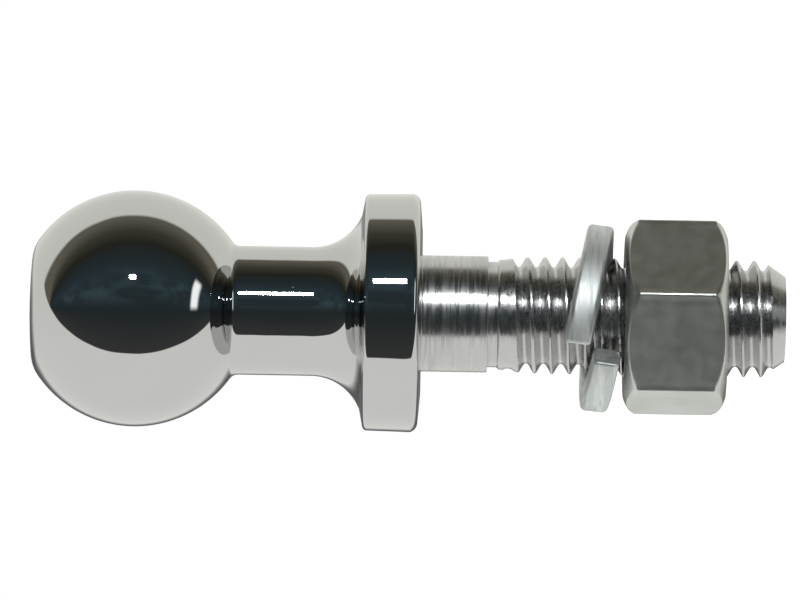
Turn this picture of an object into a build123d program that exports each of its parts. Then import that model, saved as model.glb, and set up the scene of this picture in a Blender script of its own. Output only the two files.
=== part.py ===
from build123d import *
from math import ceil, cos, pi, radians, sqrt, tan
import os

# A one-piece forged hitch ball with its threaded shank, a split spring washer and a hex nut.
# Millimetres. +Z runs along the shank's axis towards the ball, and z = 0 is the collar's seat face.

# Ball, with a slightly crowned flat on top
BALL_R = 25.4
BALL_Z = 61.7
TOP_Z = 84.3
CROWN_R = 130.0
TOP_ROUND_R = 8.0

# Neck and the flare that runs out into the collar
NECK_R = 13.86
NECK_FILLET_R = 2.2
FLARE_R = 11.35
FLARE_START_Z = 23.6
FLARE_END_R = 20.9

# Collar: a shallow bevel on the ball side, a faintly barrelled rim, and the seat face below
COLLAR_R = 25.65
COLLAR_TOP_R = 25.45
COLLAR_BEVEL_R = 24.6
COLLAR_BEVEL_Z = 12.4
COLLAR_EDGE = 1.0
SEAT_FLAT_R = 17.5
SEAT_RELIEF_R = 23.6
SEAT_RELIEF = 0.5
SEAT_CORNER = 1.6
SEAT_CORNER_R = 2.2

# Shank, the undercut below it, and the thread
SHANK_R = 12.5
SHANK_LENGTH = 14.2
UNDERCUT_R = 11.34
UNDERCUT_LENGTH = 2.1
RUN_IN_R = 11.78
RUN_IN_LENGTH = 10.5
STUD_END_Z = -78.2
END_R = 9.2
END_CHAMFER = 4.9

# Right-hand thread with 60 degree flanks
PITCH = 3.75
THREAD_R = 12.54
ROOT_R = 10.4
CREST_FLAT = 0.46
FLANK = tan(radians(30))
CREST_Z = -22.67
GROOVE_END_TURN = 0.62
CUT_TURNS = 0.92
CUT_LAP_TURNS = 0.002

# Hex nut
NUT_ACROSS_FLATS = 38.1
NUT_HEIGHT = 22.0
NUT_TOP_Z = -43.6
NUT_CORNER_ANGLE = -76.6
NUT_EDGE_R = 0.8
NUT_FACE_R = 17.4
NUT_ROUND_BEND = (19.9, 1.15)
NUT_ROUND_DEPTH = 2.9
NUT_BORE_R = 11.2
NUT_GROOVE_R = 12.75
NUT_COUNTERSINK_R = 13.1
THREAD_PLAY = 0.2
CUTTER_PROUD = 0.25

# Split spring washer: a left-hand coil of one turn, hanging a little askew on the thread
WASHER_IN_R = 13.3
WASHER_OUT_R = 20.0
WASHER_THICK = 5.8
WASHER_TAPER = 0.35
WASHER_EDGE_R = 0.7
WASHER_RISE = 6.6
WASHER_MIDDLE_Z = -37.45
WASHER_START_ANGLE = -107.5
WASHER_SWEEP_ANGLE = 350.0
WASHER_TILT = 6.5
WASHER_SAG = 0.4


def rounding_centre(f):
    """Centre of the rounding, of radius f, that joins the crown on top to the ball, as (r, z)."""
    crown_z = TOP_Z - CROWN_R
    z = ((CROWN_R - f) ** 2 - (BALL_R - f) ** 2 + BALL_Z**2 - crown_z**2) / (2 * (BALL_Z - crown_z))
    return sqrt((BALL_R - f) ** 2 - (z - BALL_Z) ** 2), z


def away(origin, through, distance):
    """The point at a distance from origin, on the line through a second point."""
    dr = through[0] - origin[0]
    dz = through[1] - origin[1]
    k = distance / sqrt(dr**2 + dz**2)
    return origin[0] + dr * k, origin[1] + dz * k


def midway(a, b):
    """The point halfway between two points."""
    return (a[0] + b[0]) / 2, (a[1] + b[1]) / 2


def ball_outline():
    """The crown, its rounding, the ball and the fillet into the neck, from the top down."""
    crown_middle = (0, TOP_Z - CROWN_R)
    rounding = rounding_centre(TOP_ROUND_R)
    on_crown = away(crown_middle, rounding, CROWN_R)
    on_ball = away((0, BALL_Z), rounding, BALL_R)
    fillet_r = NECK_R + NECK_FILLET_R
    fillet = (fillet_r, BALL_Z - sqrt((BALL_R + NECK_FILLET_R) ** 2 - fillet_r**2))
    off_ball = away((0, BALL_Z), fillet, BALL_R)
    on_neck = (NECK_R, fillet[1])
    return [
        ThreePointArc((0, TOP_Z), away(crown_middle, midway((0, TOP_Z), on_crown), CROWN_R), on_crown),
        ThreePointArc(on_crown, away(rounding, midway(on_crown, on_ball), TOP_ROUND_R), on_ball),
        ThreePointArc(on_ball, (BALL_R, BALL_Z), off_ball),
        ThreePointArc(off_ball, away(fillet, midway(off_ball, on_neck), NECK_FILLET_R), on_neck),
    ]


def collar_outline():
    """The neck, the flare, and the collar round to the foot of its seat face."""
    flare_middle = (NECK_R + FLARE_R, FLARE_START_Z)
    reach = flare_middle[0] - FLARE_END_R
    flare_end = (FLARE_END_R, FLARE_START_Z - sqrt(FLARE_R**2 - reach**2))
    flare_bend = away(flare_middle, (NECK_R, FLARE_START_Z - FLARE_R * 0.6), FLARE_R)
    neck_top = ball_outline()[-1] @ 1
    bevel_end = (COLLAR_BEVEL_R, COLLAR_BEVEL_Z)
    rim_top = (COLLAR_TOP_R, COLLAR_BEVEL_Z - COLLAR_EDGE)
    rim_foot = (COLLAR_R, SEAT_RELIEF + SEAT_CORNER)
    relief = (SEAT_RELIEF_R, SEAT_RELIEF)
    return [
        Line(neck_top, (NECK_R, FLARE_START_Z)),
        ThreePointArc((NECK_R, FLARE_START_Z), flare_bend, flare_end),
        Line(flare_end, bevel_end),
        RadiusArc(bevel_end, rim_top, COLLAR_EDGE),
        Line(rim_top, rim_foot),
        RadiusArc(rim_foot, relief, SEAT_CORNER_R),
        Line(relief, (SEAT_FLAT_R, 0)),
        Line((SEAT_FLAT_R, 0), (SHANK_R, 0)),
    ]


def plain_shank_outline():
    """The plain shank under the seat, as far as the undercut, and back up the axis."""
    shoulder_z = -SHANK_LENGTH
    joint_z = shoulder_z - UNDERCUT_LENGTH / 2
    return [
        Polyline(
            (SHANK_R, 0),
            (SHANK_R, shoulder_z),
            (UNDERCUT_R, shoulder_z),
            (UNDERCUT_R, joint_z),
            (0, joint_z),
            (0, TOP_Z),
        )
    ]


def thread_blank():
    """The rod that the thread is cut in: the undercut, the rolled run-in, the crests and the end chamfer."""
    shoulder_z = -SHANK_LENGTH
    run_in_z = shoulder_z - UNDERCUT_LENGTH
    outline = Polyline(
        (0, shoulder_z - UNDERCUT_LENGTH / 2),
        (UNDERCUT_R, shoulder_z - UNDERCUT_LENGTH / 2),
        (UNDERCUT_R, run_in_z),
        (RUN_IN_R, run_in_z - (RUN_IN_R - UNDERCUT_R)),
        (THREAD_R, run_in_z - RUN_IN_LENGTH),
        (THREAD_R, STUD_END_Z + END_CHAMFER),
        (END_R, STUD_END_Z),
        (0, STUD_END_Z),
        close=True,
    )
    return revolve(Plane.XZ * make_face(outline), Axis.Z)


def spiral_cutters(inner, outer, zero_z, first, last):
    """Short lengths of a right-hand spiral cutter, which together run from turn first to turn last.

    inner and outer are the (radius, width) of its section, and zero_z is its height at turn 0.
    """
    count = ceil((last - first) / CUT_TURNS)
    turns = (last - first) / count
    section = Polyline(
        (inner[0], -inner[1] / 2),
        (outer[0], -outer[1] / 2),
        (outer[0], outer[1] / 2),
        (inner[0], inner[1] / 2),
        close=True,
    )
    path = Helix(PITCH, PITCH * (turns + CUT_LAP_TURNS), inner[0])
    length = sweep(Plane.XZ * make_face(section), path=path, is_frenet=True)
    starts = [first + turns * i for i in range(count)]
    return [Pos(0, 0, zero_z + PITCH * start) * Rot(0, 0, 360 * start) * length for start in starts]


def make_stud():
    """The whole forging: the turned upper part, and the shank below it with the thread cut in."""
    outline = Curve() + ball_outline() + collar_outline() + plain_shank_outline()
    upper = revolve(Plane.XZ * make_face(outline), Axis.Z)
    root = (ROOT_R, PITCH - CREST_FLAT - 2 * (THREAD_R - ROOT_R) * FLANK)
    mouth = (THREAD_R + CUTTER_PROUD, PITCH - CREST_FLAT + 2 * CUTTER_PROUD * FLANK)
    groove_z = CREST_Z + PITCH / 2
    first_turn = (STUD_END_Z - groove_z) / PITCH
    rod = thread_blank()
    for cutter in spiral_cutters(root, mouth, groove_z, first_turn, GROOVE_END_TURN):
        rod -= cutter
    return upper + rod


def turned_envelope(corner_r):
    """The nut's outline as if it were round: flat faces, and corners turned off in a soft curve."""
    bend_r, bend_depth = NUT_ROUND_BEND
    low = [(NUT_FACE_R, 0), (bend_r, bend_depth), (corner_r, NUT_ROUND_DEPTH)]
    high = [(r, NUT_HEIGHT - z) for r, z in reversed(low)]
    outline = [
        Line((0, 0), low[0]),
        ThreePointArc(*low),
        Line(low[2], high[0]),
        ThreePointArc(*high),
        Line(high[2], (0, NUT_HEIGHT)),
        Line((0, NUT_HEIGHT), (0, 0)),
    ]
    return revolve(Plane.XZ * make_face(Curve() + outline), Axis.Z)


def rounded_hexagon():
    """The nut's outside: a hexagon with its edges eased, and its corners turned off at both ends."""
    corner_r = NUT_ACROSS_FLATS / 2 / cos(pi / 6)
    prism = extrude(RegularPolygon(corner_r, 6), NUT_HEIGHT)
    prism = fillet(prism.edges().filter_by(Axis.Z), NUT_EDGE_R)
    blank = prism & turned_envelope(corner_r)
    return Pos(0, 0, NUT_TOP_Z - NUT_HEIGHT) * Rot(0, 0, NUT_CORNER_ANGLE) * blank


def countersink(z, turn):
    """The cone that opens one end of the nut's bore, pointing up, or down with a turn of 180."""
    depth = NUT_COUNTERSINK_R - NUT_BORE_R
    cone = Cone(NUT_COUNTERSINK_R, NUT_BORE_R, depth, align=(Align.CENTER, Align.CENTER, Align.MIN))
    return Pos(0, 0, z) * Rot(turn, 0, 0) * cone


def make_nut():
    """The nut at the place where it sits on the thread, its own thread matching the stud's."""
    foot_z = NUT_TOP_Z - NUT_HEIGHT
    bore = Pos(0, 0, foot_z + NUT_HEIGHT / 2) * Cylinder(NUT_BORE_R, 2 * NUT_HEIGHT)
    nut = rounded_hexagon() - bore - countersink(foot_z, 0) - countersink(NUT_TOP_Z, 180)
    crest = (NUT_GROOVE_R, CREST_FLAT + 2 * (THREAD_R - NUT_GROOVE_R) * FLANK + 2 * THREAD_PLAY)
    inner_r = NUT_BORE_R - CUTTER_PROUD
    mouth = (inner_r, CREST_FLAT + 2 * (THREAD_R - inner_r) * FLANK + 2 * THREAD_PLAY)
    first_turn = (foot_z - CREST_Z) / PITCH - 1
    last_turn = (NUT_TOP_Z - CREST_Z) / PITCH + 1
    for cutter in spiral_cutters(mouth, crest, CREST_Z, first_turn, last_turn):
        nut -= cutter
    return nut


def make_washer():
    """One left-hand turn of tapered square wire, cut square at the split."""
    mean_r = (WASHER_IN_R + WASHER_OUT_R) / 2
    half_width = (WASHER_OUT_R - WASHER_IN_R) / 2
    inner_half = (WASHER_THICK + WASHER_TAPER) / 2
    outer_half = (WASHER_THICK - WASHER_TAPER) / 2
    wire = Polyline(
        (mean_r - half_width, -inner_half),
        (mean_r + half_width, -outer_half),
        (mean_r + half_width, outer_half),
        (mean_r - half_width, inner_half),
        close=True,
    )
    section = make_face(wire)
    section = fillet(section.vertices(), WASHER_EDGE_R)
    turn = WASHER_SWEEP_ANGLE / 360
    path = Helix(WASHER_RISE / turn, WASHER_RISE, mean_r, lefthand=True)
    coil = sweep(Plane.XZ * section, path=path, is_frenet=True)
    end_angle = WASHER_START_ANGLE + WASHER_SWEEP_ANGLE
    coil = Rot(0, 0, end_angle) * Pos(0, 0, -WASHER_RISE / 2) * coil
    return Pos(-WASHER_SAG, 0, WASHER_MIDDLE_Z) * Rot(0, WASHER_TILT, 0) * coil


def main():
    pieces = {
        "ball_stud": make_stud(),
        "lock_washer": make_washer(),
        "hex_nut": make_nut(),
    }
    os.makedirs("parts", exist_ok=True)
    for name, piece in pieces.items():
        export_step(piece, os.path.join("parts", name + ".step"))


if __name__ == "__main__":
    main()
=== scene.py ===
import math

import bmesh
import bpy
from mathutils import Matrix, Vector


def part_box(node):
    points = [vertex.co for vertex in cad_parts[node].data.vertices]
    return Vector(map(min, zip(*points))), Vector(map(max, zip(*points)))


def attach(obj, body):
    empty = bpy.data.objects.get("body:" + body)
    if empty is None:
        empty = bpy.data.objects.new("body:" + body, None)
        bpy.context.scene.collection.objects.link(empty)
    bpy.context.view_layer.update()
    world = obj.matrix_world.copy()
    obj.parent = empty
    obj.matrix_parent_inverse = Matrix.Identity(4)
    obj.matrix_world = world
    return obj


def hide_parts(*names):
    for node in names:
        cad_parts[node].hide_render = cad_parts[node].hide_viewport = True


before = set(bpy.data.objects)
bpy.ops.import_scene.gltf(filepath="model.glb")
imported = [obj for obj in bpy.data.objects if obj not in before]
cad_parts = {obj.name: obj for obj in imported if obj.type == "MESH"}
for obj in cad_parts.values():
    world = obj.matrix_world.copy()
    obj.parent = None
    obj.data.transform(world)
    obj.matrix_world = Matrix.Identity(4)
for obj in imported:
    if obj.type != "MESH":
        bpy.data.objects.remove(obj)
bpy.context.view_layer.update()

# Sizes are in millimetres and angles in degrees, unless a name says otherwise. The stud's ends, the
# collar's radius and the nut's ends come from the frame's boxes. Other heights count from the seat face.
MM = 0.001
TAU = 2 * math.pi
stud_low, stud_high = [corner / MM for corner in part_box("ball_stud")]
nut_low, nut_high = [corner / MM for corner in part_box("hex_nut")]

# Ball and neck. The crown's height and the neck's top are measured from the ball's centre.
TOP_Z = stud_high.z
CROWN_HEIGHT = 22.6
BALL_R = 25.4
BALL_Z = TOP_Z - CROWN_HEIGHT
CROWN_R = 130.0
CROWN_FIRST_ANGLE = 89.9
TOP_ROUND_R = 8.0
NECK_R = 13.86
NECK_TOP_DEPTH = 22.5
NECK_FILLET_R = 2.2
FLARE_R = 11.35
FLARE_START_Z = 23.6
FLARE_END_R = 20.9

# Collar. The seat's corner is an arc through a point given from the relief's edge.
COLLAR_R = min(stud_high.x, -stud_low.x, stud_high.y, -stud_low.y)
COLLAR_TOP_R = COLLAR_R - 0.2
BEVEL_END = (24.6, 12.4)
COLLAR_EDGE = 1.0
SEAT_FLAT_R = 17.5
SEAT_RELIEF = (23.6, 0.5)
SEAT_CORNER_HEIGHT = 1.6
SEAT_CORNER_BEND = (1.287, 0.465)
SEAT_TOLERANCE = 0.01

# Shank, undercut and the end of the stud
SHANK_R = 12.5
SHANK_LENGTH = 14.2
UNDERCUT_R = 11.34
UNDERCUT_LENGTH = 2.1
THREAD_TOP_Z = -SHANK_LENGTH - UNDERCUT_LENGTH
STUD_END_Z = stud_low.z
END_R = 9.2
END_CHAMFER = 4.9
END_DISC_SHARE = 0.3
EDGE_R = 0.2
STUD_SEGMENTS = 160

# Thread. GROOVE_FADE is in turns; the run-in's steps are shares of its length with the radius there.
PITCH = 3.75
THREAD_R = 12.54
ROOT_R = 10.4
ROOT_ROUND = 0.55
CREST_FLAT = 0.46
CREST_ROUND = 0.16
CREST_Z = -22.67
FLANK = math.tan(math.radians(30))
GROOVE_FADE = (0.3, 0.62)
END_FADE = 0.3
RUN_IN_R = 11.78
RUN_IN_LENGTH = 10.5
RUN_IN_LIP = 0.4
RUN_IN_STEPS = [(1.0, THREAD_R), (0.45, THREAD_R - 0.22), (0.15, RUN_IN_R + 0.1)]
STUD_RINGS_PER_TURN = 24
NUT_RINGS_PER_TURN = 20

NUT_ACROSS_FLATS = 38.1
NUT_CORNER_R = NUT_ACROSS_FLATS / 2 / math.cos(math.pi / 6)
NUT_CORNER_ANGLE = -76.6
NUT_EDGE_R = 0.8
NUT_EDGE_ROUND = 0.15
NUT_FACE_R = 17.4
NUT_ROUND_BEND = (19.9, 1.15)
NUT_ROUND_DEPTH = 2.9
NUT_BORE_R = 11.2
NUT_BORE_ROUND = 0.2
NUT_GROOVE_R = 12.75
NUT_GROOVE_ROUND = 0.3
NUT_COUNTERSINK_R = 13.1
NUT_END_SKIN = 0.01
NUT_CORNER_STEPS = (-1.5, -1.0, -0.5, 0, 0.5, 1.0, 1.5)
NUT_SIDE_STEPS = 20
NUT_ROUND_LEVELS = 30
NUT_ROUND_LEVEL_BIAS = 1.3
NUT_ROUND_MARGIN = 0.3
NUT_SIDE_LEVELS = 8
THREAD_PLAY = 0.2

WASHER_IN_R = 13.3
WASHER_OUT_R = 20.0
WASHER_MIDDLE_R = (WASHER_IN_R + WASHER_OUT_R) / 2
WASHER_HALF = (WASHER_OUT_R - WASHER_IN_R) / 2
WASHER_THICK = 5.8
WASHER_TAPER = 0.35
WASHER_EDGE_R = 0.9
WASHER_EDGE_STEPS = 7
WASHER_END_ROUND = 0.35
WASHER_END_STEPS = [(0, WASHER_END_ROUND), (0.3, 0.12), (1, 0)]
WASHER_STEPS = 200
WASHER_RISE = 6.6
WASHER_MIDDLE_Z = -37.45
WASHER_START_ANGLE = -107.5
WASHER_SWEEP_ANGLE = 350.0
WASHER_TILT = 6.5
WASHER_SAG = 0.4

WELD = 0.002
SHARP_ANGLE = 40.0
POLISHED, TURNED, THREADED = 0, 1, 2
ZINC, ZINC_THREAD = 0, 1


# ---- small helpers ----

def arc(centre, radius, start, end, steps):
    """Points (r, z) on an arc from one angle to another, in degrees from +r towards +z."""
    angles = [math.radians(start + (end - start) * i / steps) for i in range(steps + 1)]
    return [(centre[0] + radius * math.cos(a), centre[1] + radius * math.sin(a)) for a in angles]


def line(a, b, steps):
    """Points (r, z) from a to b."""
    along_r, along_z = b[0] - a[0], b[1] - a[1]
    return [(a[0] + along_r * i / steps, a[1] + along_z * i / steps) for i in range(steps + 1)]


def bearing(centre, point):
    """Angle in degrees from +r towards +z of a point seen from a centre."""
    return math.degrees(math.atan2(point[1] - centre[1], point[0] - centre[0]))


def soft_min(a, b, blend):
    """The smaller of two numbers, rounded where they cross."""
    near = max(blend - abs(a - b), 0) / blend
    return min(a, b) - near * near * blend / 4


def soft_max(a, b, blend):
    """The larger of two numbers, rounded where they cross."""
    return -soft_min(-a, -b, blend)


def smooth_step(low, high, value):
    """0 below low, 1 above high, and smooth between."""
    t = min(max((value - low) / (high - low), 0), 1)
    return t * t * (3 - 2 * t)


def between(points, x):
    """y at x on a chain of straight lines, from a list of (x, y) with rising x."""
    for (x0, y0), (x1, y1) in zip(points, points[1:]):
        if x <= x1:
            return y0 + (y1 - y0) * (x - x0) / (x1 - x0)
    return points[-1][1]


def circle_through(a, b, c):
    """Centre and radius of the circle through three points."""
    d = 2 * (a[0] * (b[1] - c[1]) + b[0] * (c[1] - a[1]) + c[0] * (a[1] - b[1]))
    sa, sb, sc = [p[0] ** 2 + p[1] ** 2 for p in (a, b, c)]
    x = (sa * (b[1] - c[1]) + sb * (c[1] - a[1]) + sc * (a[1] - b[1])) / d
    y = (sa * (c[0] - b[0]) + sb * (a[0] - c[0]) + sc * (b[0] - a[0])) / d
    return (x, y), math.hypot(a[0] - x, a[1] - y)


def mesh_object(bm, name):
    """Puts a finished mesh into the scene as an object."""
    mesh = bpy.data.meshes.new(name)
    bm.to_mesh(mesh)
    bm.free()
    obj = bpy.data.objects.new(name, mesh)
    bpy.context.scene.collection.objects.link(obj)
    return obj


class Skin:
    """Collects rings of points round the axis into one closed mesh, in millimetres."""

    def __init__(self, angles):
        self.angles = angles
        self.bm = bmesh.new()

    def point(self, radius, angle, z):
        return self.bm.verts.new((radius * math.cos(angle), radius * math.sin(angle), z))

    def ring(self, radius, z):
        return [self.point(radius, angle, z) for angle in self.angles]

    def quad(self, corners, zone):
        if len(set(corners)) == 4:
            self.bm.faces.new(corners).material_index = zone

    def join(self, low, high, zone):
        """A band of faces between two rings."""
        count = len(self.angles)
        for j in range(count):
            k = (j + 1) % count
            self.quad([low[j], low[k], high[k], high[j]], zone)

    def turned(self, outline, zone):
        """Rings along an outline of (r, z), joined; zone(z) gives the material of each band."""
        rings = [self.ring(r, z) for r, z in outline]
        for low, high, (_, z) in zip(rings, rings[1:], outline):
            self.join(low, high, zone(z))

    def shaped(self, heights, radius, zone):
        """Rings at each height whose radius(angle, z) changes round the axis."""
        rings = [[self.point(radius(a, z), a, z) for a in self.angles] for z in heights]
        for low, high in zip(rings, rings[1:]):
            self.join(low, high, zone)

    def thread_rows(self, low_z, high_z, radius, rings_per_turn):
        """Rows of (z, point) that climb with the thread and are held between two heights."""
        turns = math.ceil((high_z - low_z) / PITCH) + 3
        first_z = CREST_Z - PITCH * (math.ceil((CREST_Z - low_z) / PITCH) + 1)
        rows = []
        for i in range(turns * rings_per_turn):
            row = []
            for angle in self.angles:
                z = first_z + PITCH * (i / rings_per_turn + angle / TAU)
                z = min(max(z, low_z), high_z)
                row.append((z, self.point(radius(angle, z), angle, z)))
            rows.append(row)
        return rows

    def threaded(self, low_z, high_z, radius, rings_per_turn, zone):
        """A skin whose rings climb with the thread, cut off flat at both ends."""
        rows = self.thread_rows(low_z, high_z, radius, rings_per_turn)
        count = len(self.angles)
        for i in range(len(rows) - 1):
            for j in range(count):
                ahead = i if j < count - 1 else i + rings_per_turn
                if ahead + 1 >= len(rows):
                    continue
                k = (j + 1) % count
                corners = [rows[i][j], rows[ahead][k], rows[ahead + 1][k], rows[i + 1][j]]
                heights = [z for z, _ in corners]
                if min(heights) < max(heights):
                    self.quad([point for _, point in corners], zone)

    def disc(self, radius, z, zone):
        """A flat cap in the ring at this radius."""
        ring = self.ring(radius, z)
        middle = self.bm.verts.new((0, 0, z))
        for j, corner in enumerate(ring):
            self.bm.faces.new([corner, ring[(j + 1) % len(ring)], middle]).material_index = zone

    def finish(self, name):
        """Welds the rings, drops what is left over, marks sharp edges and makes the object in metres."""
        bmesh.ops.remove_doubles(self.bm, verts=self.bm.verts, dist=WELD)
        loose = [v for v in self.bm.verts if not v.link_faces]
        bmesh.ops.delete(self.bm, geom=loose, context="VERTS")
        bmesh.ops.recalc_face_normals(self.bm, faces=self.bm.faces)
        for face in self.bm.faces:
            face.smooth = True
        for edge in self.bm.edges:
            if len(edge.link_faces) == 2 and edge.calc_face_angle(0) > math.radians(SHARP_ANGLE):
                edge.smooth = False
        bmesh.ops.scale(self.bm, vec=(MM, MM, MM), verts=self.bm.verts)
        return mesh_object(self.bm, name)


# ---- the stud ----

def ball_outline():
    """Crown, rounding, ball and the fillet into the neck, from the top down."""
    crown = (0, TOP_Z - CROWN_R)
    reach, rise = CROWN_R - TOP_ROUND_R, BALL_R - TOP_ROUND_R
    z = (reach**2 - rise**2 + BALL_Z**2 - crown[1] ** 2) / (2 * (BALL_Z - crown[1]))
    rounding = (math.sqrt(rise**2 - (z - BALL_Z) ** 2), z)
    fillet_r = NECK_R + NECK_FILLET_R
    fillet = (fillet_r, BALL_Z - math.sqrt((BALL_R + NECK_FILLET_R) ** 2 - fillet_r**2))
    from_crown = bearing(crown, rounding)
    onto_ball = bearing((0, BALL_Z), rounding)
    off_ball = bearing((0, BALL_Z), fillet)
    return (
        arc(crown, CROWN_R, CROWN_FIRST_ANGLE, from_crown, 10)
        + arc(rounding, TOP_ROUND_R, from_crown, onto_ball, 12)[1:]
        + arc((0, BALL_Z), BALL_R, onto_ball, off_ball, 80)[1:]
        + arc(fillet, NECK_FILLET_R, off_ball + 180, 180, 12)[1:]
    )


def collar_outline():
    """Neck, flare, collar and seat face, from the neck down."""
    flare = (NECK_R + FLARE_R, FLARE_START_Z)
    stop = 180 + math.degrees(math.acos((flare[0] - FLARE_END_R) / FLARE_R))
    flare_arc = arc(flare, FLARE_R, 180, stop, 24)
    edge_centre = (COLLAR_TOP_R - COLLAR_EDGE, BEVEL_END[1] - COLLAR_EDGE)
    rim_top = (COLLAR_TOP_R, edge_centre[1])
    rim_foot = (COLLAR_R, SEAT_RELIEF[1] + SEAT_CORNER_HEIGHT)
    bend = (SEAT_RELIEF[0] + SEAT_CORNER_BEND[0], SEAT_RELIEF[1] + SEAT_CORNER_BEND[1])
    corner, corner_radius = circle_through(rim_foot, bend, SEAT_RELIEF)
    return (
        line((NECK_R, BALL_Z - NECK_TOP_DEPTH), flare_arc[0], 10)
        + flare_arc[1:]
        + line(flare_arc[-1], BEVEL_END, 4)[1:]
        + arc(edge_centre, COLLAR_EDGE, bearing(edge_centre, BEVEL_END), 0, 6)[1:]
        + line(rim_top, rim_foot, 6)[1:]
        + arc(corner, corner_radius, bearing(corner, rim_foot), bearing(corner, SEAT_RELIEF), 8)[1:]
        + line(SEAT_RELIEF, (SEAT_FLAT_R, 0), 3)[1:]
        + line((SEAT_FLAT_R, 0), (SHANK_R + EDGE_R, 0), 3)[1:]
        + arc((SHANK_R + EDGE_R, -EDGE_R), EDGE_R, 90, 180, 4)[1:]
    )


def shank_outline():
    """Plain shank and undercut, as far as the first ring of the thread."""
    shoulder = -SHANK_LENGTH
    return (
        line((SHANK_R, -EDGE_R), (SHANK_R, shoulder + EDGE_R), 6)[1:]
        + arc((SHANK_R - EDGE_R, shoulder + EDGE_R), EDGE_R, 0, -90, 4)[1:]
        + line((SHANK_R - EDGE_R, shoulder), (UNDERCUT_R, shoulder), 2)[1:]
        + line((UNDERCUT_R, shoulder), (UNDERCUT_R, THREAD_TOP_Z), 3)[1:]
    )


def blank_radius(z):
    """Radius before the groove is cut, at this height: end chamfer, crests, run-in and its lip."""
    points = [(STUD_END_Z, END_R), (STUD_END_Z + END_CHAMFER, THREAD_R)]
    points += [(THREAD_TOP_Z - RUN_IN_LENGTH * share, radius) for share, radius in RUN_IN_STEPS]
    points += [(THREAD_TOP_Z - RUN_IN_LIP, RUN_IN_R), (THREAD_TOP_Z, UNDERCUT_R)]
    return between(points, z)


def thread_offset(angle, z):
    """Signed distance from the nearest crest, and which turn of the groove this point belongs to."""
    turns = (z - CREST_Z) / PITCH - angle / TAU
    groove = math.floor(turns) + angle / TAU
    return (turns - round(turns)) * PITCH, groove


def stud_radius(angle, z):
    """The thread's surface: the blank, with the groove cut into it as far as it runs."""
    offset, groove = thread_offset(angle, z)
    flank = THREAD_R - (abs(offset) - CREST_FLAT / 2) / FLANK
    cut = soft_max(flank, ROOT_R, ROOT_ROUND)
    blank = blank_radius(z)
    depth = 1 - smooth_step(*GROOVE_FADE, groove)
    inside = soft_min(blank, cut, CREST_ROUND)
    end_share = smooth_step(STUD_END_Z, STUD_END_Z + END_FADE, z)
    return blank + (inside - blank) * depth * end_share


def stud_zone(z):
    """Material of a band of the stud: polished above the seat, turned below it."""
    return POLISHED if z > -SEAT_TOLERANCE else TURNED


def make_stud():
    """Ball, neck, collar, shank and thread as one closed skin."""
    skin = Skin([TAU * j / STUD_SEGMENTS for j in range(STUD_SEGMENTS)])
    outline = ball_outline() + collar_outline() + shank_outline()
    skin.turned(outline, stud_zone)
    skin.disc(outline[0][0], outline[0][1], POLISHED)
    skin.threaded(STUD_END_Z, THREAD_TOP_Z, stud_radius, STUD_RINGS_PER_TURN, THREADED)
    disc_r = END_R * END_DISC_SHARE
    skin.turned(line((END_R, STUD_END_Z), (disc_r, STUD_END_Z), 3), stud_zone)
    skin.disc(disc_r, STUD_END_Z, TURNED)
    return skin.finish("hitch_ball_stud")


# ---- the nut ----

def hexagon_radius(angle):
    """Radius of a hexagon with eased corners in this direction."""
    turn = math.radians(NUT_CORNER_ANGLE + 30)
    folded = (angle - turn + math.pi / 6) % (math.pi / 3) - math.pi / 6
    flat = NUT_ACROSS_FLATS / 2 / math.cos(folded)
    centre = NUT_CORNER_R - NUT_EDGE_R / math.cos(math.pi / 6)
    off = math.pi / 6 - abs(folded)
    if math.sin(off) * centre > NUT_EDGE_R:
        return flat
    eased = centre * math.cos(off) + math.sqrt(NUT_EDGE_R**2 - (centre * math.sin(off)) ** 2)
    return min(flat, eased)


def turned_radius(depth):
    """Radius of the turned-off corners at a depth from the nut's face."""
    centre, radius = circle_through((NUT_FACE_R, 0), NUT_ROUND_BEND, (NUT_CORNER_R, NUT_ROUND_DEPTH))
    if depth > NUT_ROUND_DEPTH:
        return NUT_CORNER_R + (depth - NUT_ROUND_DEPTH)
    return centre[0] + math.sqrt(max(radius**2 - (depth - centre[1]) ** 2, 0))


def nut_depth(z):
    """Distance from the nearer of the nut's two faces."""
    return min(z - nut_low.z, nut_high.z - z)


def nut_outside(angle, z):
    """The hexagon, with its corners turned off towards both faces."""
    turned = turned_radius(nut_depth(z))
    if nut_depth(z) < NUT_END_SKIN:
        return turned
    return soft_min(hexagon_radius(angle), turned, NUT_EDGE_ROUND)


def nut_inside(angle, z):
    """The bore with its thread, opening into a countersink at both faces."""
    if nut_depth(z) <= NUT_END_SKIN:
        return NUT_COUNTERSINK_R
    offset, _ = thread_offset(angle, z)
    half = CREST_FLAT / 2 + THREAD_PLAY
    flank = THREAD_R - (abs(offset) - half) / FLANK
    groove = soft_min(flank, NUT_GROOVE_R, NUT_GROOVE_ROUND)
    bore = max(NUT_BORE_R, NUT_COUNTERSINK_R - nut_depth(z))
    return soft_max(bore, groove, NUT_BORE_ROUND)


def nut_angles():
    """Directions round the nut, close together at the corners."""
    angles = []
    edge = NUT_CORNER_STEPS[-1]
    side_span = 60 - 2 * edge
    for side in range(6):
        corner = math.radians(NUT_CORNER_ANGLE + 60 * side)
        angles += [corner + math.radians(a) for a in NUT_CORNER_STEPS]
        for i in range(1, NUT_SIDE_STEPS):
            angles.append(corner + math.radians(edge + side_span * i / NUT_SIDE_STEPS))
    return sorted(angle % TAU for angle in angles)


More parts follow.
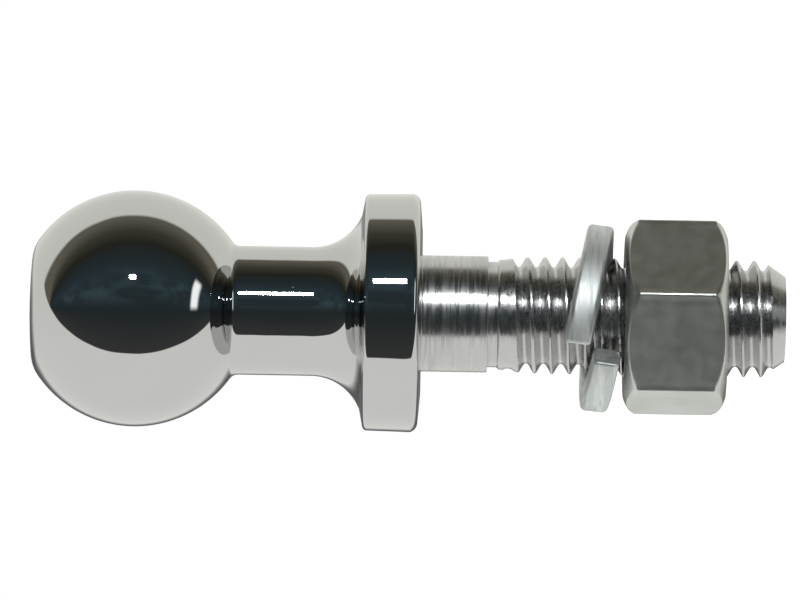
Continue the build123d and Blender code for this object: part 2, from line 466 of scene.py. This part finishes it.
def nut_heights():
    """Levels up the nut's side, close together where its corners are turned off."""
    rounded = NUT_ROUND_DEPTH + NUT_ROUND_MARGIN
    shares = [(i / NUT_ROUND_LEVELS) ** NUT_ROUND_LEVEL_BIAS for i in range(NUT_ROUND_LEVELS + 1)]
    low = [nut_low.z + rounded * share for share in shares]
    high = [nut_high.z - rounded * share for share in reversed(shares)]
    gap = high[0] - low[-1]
    return low + [low[-1] + gap * i / NUT_SIDE_LEVELS for i in range(1, NUT_SIDE_LEVELS)] + high


def make_nut():
    """Hexagon outside, threaded bore inside and a flat ring at each end."""
    skin = Skin(nut_angles())
    skin.shaped(nut_heights(), nut_outside, ZINC)
    skin.threaded(nut_low.z, nut_high.z, nut_inside, NUT_RINGS_PER_TURN, ZINC_THREAD)
    for z in (nut_low.z, nut_high.z):
        skin.turned(line((NUT_COUNTERSINK_R, z), (NUT_FACE_R, z), 4), lambda z: ZINC)
    return skin.finish("zinc_hex_nut")


# ---- the washer ----

def washer_section():
    """The wire's rounded section as (r, z), slightly thicker at the bore."""
    points = []
    inset = WASHER_HALF - WASHER_EDGE_R
    for quarter, (side_r, side_z) in enumerate([(1, 1), (-1, 1), (-1, -1), (1, -1)]):
        half_thick = (WASHER_THICK - side_r * WASHER_TAPER) / 2
        centre = (WASHER_MIDDLE_R + side_r * inset, side_z * (half_thick - WASHER_EDGE_R))
        points += arc(centre, WASHER_EDGE_R, 90 * quarter, 90 * quarter + 90, WASHER_EDGE_STEPS)
    return points


def washer_stations(sweep):
    """How far round each ring of the wire stands, and how much it shrinks to ease the cut ends."""
    inset = WASHER_END_ROUND / WASHER_MIDDLE_R
    start = [(inset * share, shrink) for share, shrink in WASHER_END_STEPS]
    end = [(sweep - turned, shrink) for turned, shrink in reversed(start)]
    run = sweep - 2 * inset
    return start + [(inset + run * i / WASHER_STEPS, 0) for i in range(1, WASHER_STEPS)] + end


def washer_ring(bm, turned, shrink, sweep):
    """One ring of the wire's section at its place along the coil."""
    angle = math.radians(WASHER_START_ANGLE) + turned
    lift = WASHER_RISE * (0.5 - turned / sweep)
    scale_r = 1 - shrink / WASHER_HALF
    scale_z = 1 - shrink / (WASHER_THICK / 2)
    ring = []
    for r, z in washer_section():
        radius = WASHER_MIDDLE_R + (r - WASHER_MIDDLE_R) * scale_r
        place = (radius * math.cos(angle), radius * math.sin(angle), z * scale_z + lift)
        ring.append(bm.verts.new(place))
    return ring


def make_washer():
    """One left-hand turn of wire, cut square at the split, hanging askew on the thread."""
    bm = bmesh.new()
    sweep = math.radians(WASHER_SWEEP_ANGLE)
    rings = [washer_ring(bm, turned, shrink, sweep) for turned, shrink in washer_stations(sweep)]
    for a, b in zip(rings, rings[1:]):
        for j in range(len(a)):
            k = (j + 1) % len(a)
            bm.faces.new([a[j], a[k], b[k], b[j]])
    bm.faces.new(rings[0])
    bm.faces.new(rings[-1])
    bmesh.ops.recalc_face_normals(bm, faces=bm.faces)
    for face in bm.faces:
        face.smooth = len(face.verts) == 4
    tilt = Matrix.Rotation(math.radians(WASHER_TILT), 4, "Y")
    place = Matrix.Translation((-WASHER_SAG, 0, WASHER_MIDDLE_Z)) @ tilt
    bmesh.ops.transform(bm, matrix=Matrix.Scale(MM, 4) @ place, verts=bm.verts)
    return mesh_object(bm, "zinc_lock_washer")


# ---- materials ----

def colour(r, g, b):
    return (r, g, b, 1.0)


def grey(value, warm=0.0):
    """A grey, shifted towards brown for warm above 0 and towards blue below 0."""
    return colour(value * (1 + warm), value, value * (1 - warm))


class Graph:
    """Adds nodes to a tree and links them."""

    def __init__(self, owner):
        owner.use_nodes = True
        self.tree = owner.node_tree
        self.tree.nodes.clear()

    def node(self, kind, settings=None, **inputs):
        made = self.tree.nodes.new(kind)
        for name, value in (settings or {}).items():
            setattr(made, name, value)
        for name, value in inputs.items():
            self.give(made.inputs[name.replace("_", " ")], value)
        return made

    def give(self, socket, value):
        if isinstance(value, bpy.types.NodeSocket):
            self.tree.links.new(value, socket)
        else:
            socket.default_value = value

    def math(self, operation, a, b=0.0):
        made = self.node("ShaderNodeMath", {"operation": operation})
        self.give(made.inputs[0], a)
        self.give(made.inputs[1], b)
        return made.outputs[0]

    def scaled(self, vector, factors):
        made = self.node("ShaderNodeVectorMath", {"operation": "MULTIPLY"})
        self.give(made.inputs[0], vector)
        self.give(made.inputs[1], factors)
        return made.outputs[0]

    def step(self, value, low, high, start=0.0, end=1.0):
        """Smooth change from start to end as the value goes from low to high."""
        made = self.node("ShaderNodeMapRange", {"interpolation_type": "SMOOTHSTEP"}, Value=value)
        for name, number in (("From Min", low), ("From Max", high), ("To Min", start), ("To Max", end)):
            made.inputs[name].default_value = number
        return made.outputs[0]

    def mix(self, share, a, b):
        """Colour a, going over to b; a colour mix has its share at socket 0 and its colours at 6 and 7."""
        made = self.node("ShaderNodeMix", {"data_type": "RGBA"})
        self.give(made.inputs[0], share)
        self.give(made.inputs[6], a)
        self.give(made.inputs[7], b)
        return made.outputs[2]

    def noise(self, vector, scale=1.0, detail=3.0):
        return self.node("ShaderNodeTexNoise", Vector=vector, Scale=scale, Detail=detail).outputs[0]

    def millimetres(self):
        """The surface's own coordinates in millimetres."""
        place = self.node("ShaderNodeTexCoord").outputs["Object"]
        return self.scaled(place, (1 / MM, 1 / MM, 1 / MM))

    def bump(self, height, depth):
        """A normal for a height from 0 to 1 that stands for a depth in millimetres."""
        return self.node("ShaderNodeBump", Height=height, Distance=depth * MM, Strength=1.0).outputs[0]

    def metal(self, tone, roughness, normal, anisotropic=0.0):
        """Plain metal; anisotropic above 0 stretches its highlights across marks that run round the axis."""
        shader = self.node("ShaderNodeBsdfPrincipled", Metallic=1.0, Base_Color=tone, Roughness=roughness)
        self.give(shader.inputs["Normal"], normal)
        if anisotropic:
            shader.inputs["Anisotropic"].default_value = anisotropic
            shader.inputs["Anisotropic Rotation"].default_value = 0.25
            tangent = self.node("ShaderNodeTangent", {"direction_type": "RADIAL", "axis": "Z"})
            self.give(shader.inputs["Tangent"], tangent.outputs[0])
        output = self.node("ShaderNodeOutputMaterial")
        self.give(output.inputs["Surface"], shader.outputs[0])


def chrome():
    """Bright plating with faint waves, hairline scratches and a few specks."""
    material = bpy.data.materials.new("polished_chrome")
    g = Graph(material)
    place = g.millimetres()
    waves = g.noise(place, scale=0.16, detail=1.0)
    streaks = g.noise(g.scaled(place, (0.5, 0.5, 9.0)), detail=4.0)
    specks = g.step(g.noise(place, scale=1.9, detail=1.0), 0.8, 0.82)
    height = g.math("ADD", waves, g.math("MULTIPLY", streaks, 0.006))
    scratched = g.step(streaks, 0.55, 0.85, start=0.015, end=0.05)
    roughness = g.math("ADD", scratched, g.math("MULTIPLY", specks, 0.25))
    tone = g.mix(g.noise(place, scale=0.09), grey(0.545, 0.004), grey(0.575, -0.004))
    g.metal(tone, roughness, g.bump(height, depth=0.03))
    return material


def turned_steel():
    """The plated shank as the lathe left it, with fine rings round it."""
    material = bpy.data.materials.new("turned_shank")
    g = Graph(material)
    place = g.millimetres()
    rings = g.noise(g.scaled(place, (0.02, 0.02, 3.2)), detail=4.0)
    bands = g.noise(g.scaled(place, (0.12, 0.12, 1.8)))
    tone = g.mix(rings, grey(0.54, 0.004), grey(0.59))
    roughness = g.step(bands, 0.38, 0.62, start=0.26, end=0.42)
    g.metal(tone, roughness, g.bump(rings, depth=0.004), anisotropic=0.6)
    return material


def thread_steel():
    """The rolled thread under its plating, bright, with fine drag marks along the groove."""
    material = bpy.data.materials.new("rolled_thread")
    g = Graph(material)
    place = g.millimetres()
    patches = g.noise(g.scaled(place, (0.5, 0.5, 0.9)))
    drag = g.noise(g.scaled(place, (0.15, 0.15, 3.0)), detail=4.0)
    tone = g.mix(patches, grey(0.5, 0.01), grey(0.62))
    roughness = g.step(patches, 0.35, 0.65, start=0.22, end=0.34)
    g.metal(tone, roughness, g.bump(drag, depth=0.01), anisotropic=0.5)
    return material


def zinc_nut():
    """Satin zinc plate with faint clouding and small scuffs."""
    material = bpy.data.materials.new("satin_zinc")
    g = Graph(material)
    place = g.millimetres()
    clouds = g.noise(place, scale=0.1, detail=4.0)
    grain = g.noise(place, scale=0.35)
    scuffs = g.step(g.noise(g.scaled(place, (0.9, 0.9, 0.35)), scale=0.4, detail=6.0), 0.7, 0.75)
    plate = g.mix(g.step(clouds, 0.3, 0.7), colour(0.56, 0.575, 0.545), colour(0.63, 0.655, 0.635))
    tone = g.mix(g.math("MULTIPLY", scuffs, 0.7), plate, grey(0.8, 0.01))
    satin = g.step(grain, 0.3, 0.7, start=0.32, end=0.37)
    roughness = g.math("ADD", satin, g.math("MULTIPLY", scuffs, 0.1))
    g.metal(tone, roughness, g.bump(grain, depth=0.008))
    return material


def zinc_washer():
    """Zinc plate over drawn wire, brushed and streaked along the wire's length."""
    material = bpy.data.materials.new("brushed_zinc")
    g = Graph(material)
    place = g.millimetres()
    x, y, z = g.node("ShaderNodeSeparateXYZ", Vector=place).outputs
    radius = g.math("SQRT", g.math("ADD", g.math("MULTIPLY", x, x), g.math("MULTIPLY", y, y)))
    along = g.math("ARCTAN2", y, x)
    wire = g.node("ShaderNodeCombineXYZ", X=along, Y=radius, Z=z).outputs[0]
    brushing = g.noise(g.scaled(wire, (2.5, 3.0, 3.0)), detail=4.0)
    streaks = g.noise(g.scaled(wire, (1.6, 0.7, 0.7)), detail=2.0)
    clouds = g.noise(place, scale=0.3)
    plate = g.mix(clouds, colour(0.53, 0.56, 0.555), colour(0.64, 0.67, 0.665))
    tone = g.mix(g.step(streaks, 0.42, 0.6), plate, colour(0.77, 0.79, 0.785))
    brushed = g.step(brushing, 0.35, 0.65, start=0.44, end=0.56)
    roughness = g.math("ADD", brushed, g.step(streaks, 0.4, 0.6, end=0.08))
    g.metal(tone, roughness, g.bump(brushing, depth=0.03))
    return material


# ---- light, floor and camera ----

# The studio's tones. Angles go up from level in front of the object, round its long axis.
FOOT_GREY = grey(0.055)
NEAR_BLACK = colour(0.026, 0.034, 0.036)
TEAL = colour(0.03, 0.05, 0.06)
TEAL_GLOW = colour(0.07, 0.12, 0.14)
WARM_BLACK = colour(0.027, 0.028, 0.022)
BROWN = colour(0.065, 0.062, 0.045)
PALE_BROWN = colour(0.16, 0.15, 0.12)
LOW_SKY = colour(0.93, 0.94, 0.9)
HIGH_SKY = colour(0.86, 0.86, 0.8)
DIM_GREY = grey(0.13)
WALL_TONES = [
    (-45, FOOT_GREY),
    (-6, NEAR_BLACK),
    (35, TEAL),
    (58, NEAR_BLACK),
    (68, WARM_BLACK),
    (83, BROWN),
    (100, PALE_BROWN),
]
WALL_FOOT = -60
WALL_SPAN = 180
WALL_BACK_EDGE = (-0.28, -0.2)
WALL_LOW_EDGE = (-0.015, 0.015)
GLOW_SHARE = 0.6

# A dim strip behind, and two lamps given as (low, high, edge) up the wall and along the axis
STRIP_ANGLE = 8
STRIP_EDGE_ANGLE = 19
STRIP_ENDS = (0.55, 0.9)
LINE_LAMP = colour(250.0, 254.0, 255.0)
LINE_LAMP_UP = (29.5, 32.5, 0.7)
LINE_LAMP_ALONG = (-0.02, 0.065, 0.01)
FAR_LAMP = colour(1.5, 1.54, 1.52)
FAR_LAMP_UP = (8, 44, 12)
FAR_LAMP_ALONG = (-0.89, -0.86, 0.03)
WORLD_MAP_SIZE = 2048

FLOOR_Z = -118.0
FLOOR_HALF = 4000.0
FLOOR_TONE = 0.85
FLOOR_LIFT = 0.85

CAMERA_PLACE = (2.79, -2000.0, 4.68)
CAMERA_TILT = 0.985
CAMERA_LENS = 418.0
CAMERA_SENSOR = 36.0
CAMERA_NEAR_METRES = 0.01


def band(g, value, low, high, edge):
    """1 between low and high, falling to 0 over a soft edge outside them."""
    return g.math("MULTIPLY", g.step(value, low - edge, low), g.step(value, high, high + edge, 1.0, 0.0))


def distance(g, a, b):
    """Length of the line whose two sides are a and b."""
    return g.math("SQRT", g.math("ADD", g.math("MULTIPLY", a, a), g.math("MULTIPLY", b, b)))


def wall_colours(g, angle, cloud):
    """The wall in front, from its foot up: near black, a clouded teal glow, black, brown at the top."""
    place = g.math("DIVIDE", g.math("SUBTRACT", angle, WALL_FOOT), WALL_SPAN)
    ramp = g.node("ShaderNodeValToRGB", Fac=place)
    elements = ramp.color_ramp.elements
    elements.remove(elements[0])
    for degrees, tone in WALL_TONES:
        elements.new((degrees - WALL_FOOT) / WALL_SPAN).color = tone
    elements.remove(elements[-1])
    glow = g.math("MULTIPLY", band(g, angle, 20, 24, 22), g.step(cloud, 0.42, 0.7))
    return g.mix(g.math("MULTIPLY", glow, GLOW_SHARE), ramp.outputs["Color"], TEAL_GLOW)


def room_colours(g, away, up):
    """Plain light all round, with a dim strip low down behind the object."""
    sky = g.mix(g.step(up, -0.6, 0.6), LOW_SKY, HIGH_SKY)
    tilt = math.radians(STRIP_ANGLE)
    level = g.math("MULTIPLY", away, math.cos(tilt))
    behind = g.math("SUBTRACT", level, g.math("MULTIPLY", up, math.sin(tilt)))
    across = distance(g, away, up)
    edge = math.cos(math.radians(STRIP_EDGE_ANGLE))
    strip = g.step(g.math("DIVIDE", behind, across), edge, 1.0)
    strip = g.math("MULTIPLY", strip, g.step(across, *STRIP_ENDS))
    return g.mix(strip, sky, DIM_GREY)


def with_lamp(g, seen, up, along, tone):
    """Adds a lamp that reaches over these bands to what is seen."""
    return g.mix(g.math("MULTIPLY", up, along), seen, tone)


def studio_light(g):
    """The light from each direction: the wall in front, the room elsewhere and two lamps over them."""
    direction = g.node("ShaderNodeTexCoord").outputs["Generated"]
    up, away, along = g.node("ShaderNodeSeparateXYZ", Vector=direction).outputs
    near = g.math("MULTIPLY", away, -1.0)
    angle = g.math("MULTIPLY", g.math("ARCTAN2", up, near), 360 / TAU)
    cloud = g.noise(g.scaled(direction, (1.0, 1.0, 0.4)), scale=3.5)
    low_edge = g.step(g.math("ADD", up, near), *WALL_LOW_EDGE)
    wall = g.math("MULTIPLY", g.step(near, *WALL_BACK_EDGE), low_edge)
    seen = g.mix(wall, room_colours(g, away, up), wall_colours(g, angle, cloud))
    seen = with_lamp(g, seen, band(g, angle, *LINE_LAMP_UP), band(g, along, *LINE_LAMP_ALONG), LINE_LAMP)
    return with_lamp(g, seen, band(g, angle, *FAR_LAMP_UP), band(g, along, *FAR_LAMP_ALONG), FAR_LAMP)


def studio_world():
    """Plain white behind the object, and the studio's light for the metal to reflect."""
    world = bpy.data.worlds.new("studio")
    bpy.context.scene.world = world
    g = Graph(world)
    environment = g.node("ShaderNodeBackground", Color=studio_light(g))
    plain = g.node("ShaderNodeBackground", Color=grey(1.0))
    camera_ray = g.node("ShaderNodeLightPath").outputs["Is Camera Ray"]
    chosen = g.node("ShaderNodeMixShader", Fac=camera_ray)
    g.give(chosen.inputs[1], environment.outputs[0])
    g.give(chosen.inputs[2], plain.outputs[0])
    g.give(g.node("ShaderNodeOutputWorld").inputs["Surface"], chosen.outputs[0])
    world.cycles.sampling_method = "MANUAL"
    world.cycles.sample_map_resolution = WORLD_MAP_SIZE


def white_floor():
    """A matt white that stays white under the studio's uneven light."""
    material = bpy.data.materials.new("white_floor")
    g = Graph(material)
    matt = g.node("ShaderNodeBsdfDiffuse", Color=grey(FLOOR_TONE))
    lift = g.node("ShaderNodeEmission", Color=grey(1.0), Strength=FLOOR_LIFT)
    both = g.node("ShaderNodeAddShader")
    g.give(both.inputs[0], matt.outputs[0])
    g.give(both.inputs[1], lift.outputs[0])
    g.give(g.node("ShaderNodeOutputMaterial").inputs["Surface"], both.outputs[0])
    return material


def pale_floor():
    """A white floor below the lowest place the nut reaches, hidden from reflections."""
    bm = bmesh.new()
    half = FLOOR_HALF * MM
    corners = [(-half, -half), (half, -half), (half, half), (-half, half)]
    bm.faces.new([bm.verts.new((x, y, FLOOR_Z * MM)) for x, y in corners])
    obj = mesh_object(bm, "floor")
    obj.data.materials.append(white_floor())
    obj.visible_glossy = False
    obj.visible_diffuse = False


def side_camera():
    """Looks along +Y with the object's axis lying level across the picture, ball to the left."""
    camera = bpy.data.cameras.new("camera")
    camera.lens = CAMERA_LENS
    camera.sensor_width = CAMERA_SENSOR
    camera.clip_start = CAMERA_NEAR_METRES
    obj = bpy.data.objects.new("camera", camera)
    bpy.context.scene.collection.objects.link(obj)
    tilt = math.radians(CAMERA_TILT)
    right = Vector((math.sin(tilt), 0, -math.cos(tilt)))
    up = Vector((math.cos(tilt), 0, math.sin(tilt)))
    turn = Matrix((right, up, right.cross(up))).transposed().to_4x4()
    obj.matrix_world = Matrix.Translation(Vector(CAMERA_PLACE) * MM) @ turn
    bpy.context.scene.camera = obj


# ---- the whole scene ----

def put(obj, body, node, slot, *materials):
    """Gives a piece its materials, sets it on a body and puts it in place of a node."""
    for material in materials:
        obj.data.materials.append(material)
    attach(obj, body)
    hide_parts(node)


thread = thread_steel()
put(make_stud(), "ball_stud", "ball_stud", "chrome_plate", chrome(), turned_steel(), thread)
put(make_nut(), "hex_nut", "hex_nut", "zinc_nut", zinc_nut(), thread)
put(make_washer(), "lock_washer", "lock_washer", "zinc_washer", zinc_washer())
pale_floor()
studio_world()
side_camera()
bpy.context.scene.view_settings.view_transform = "Standard"
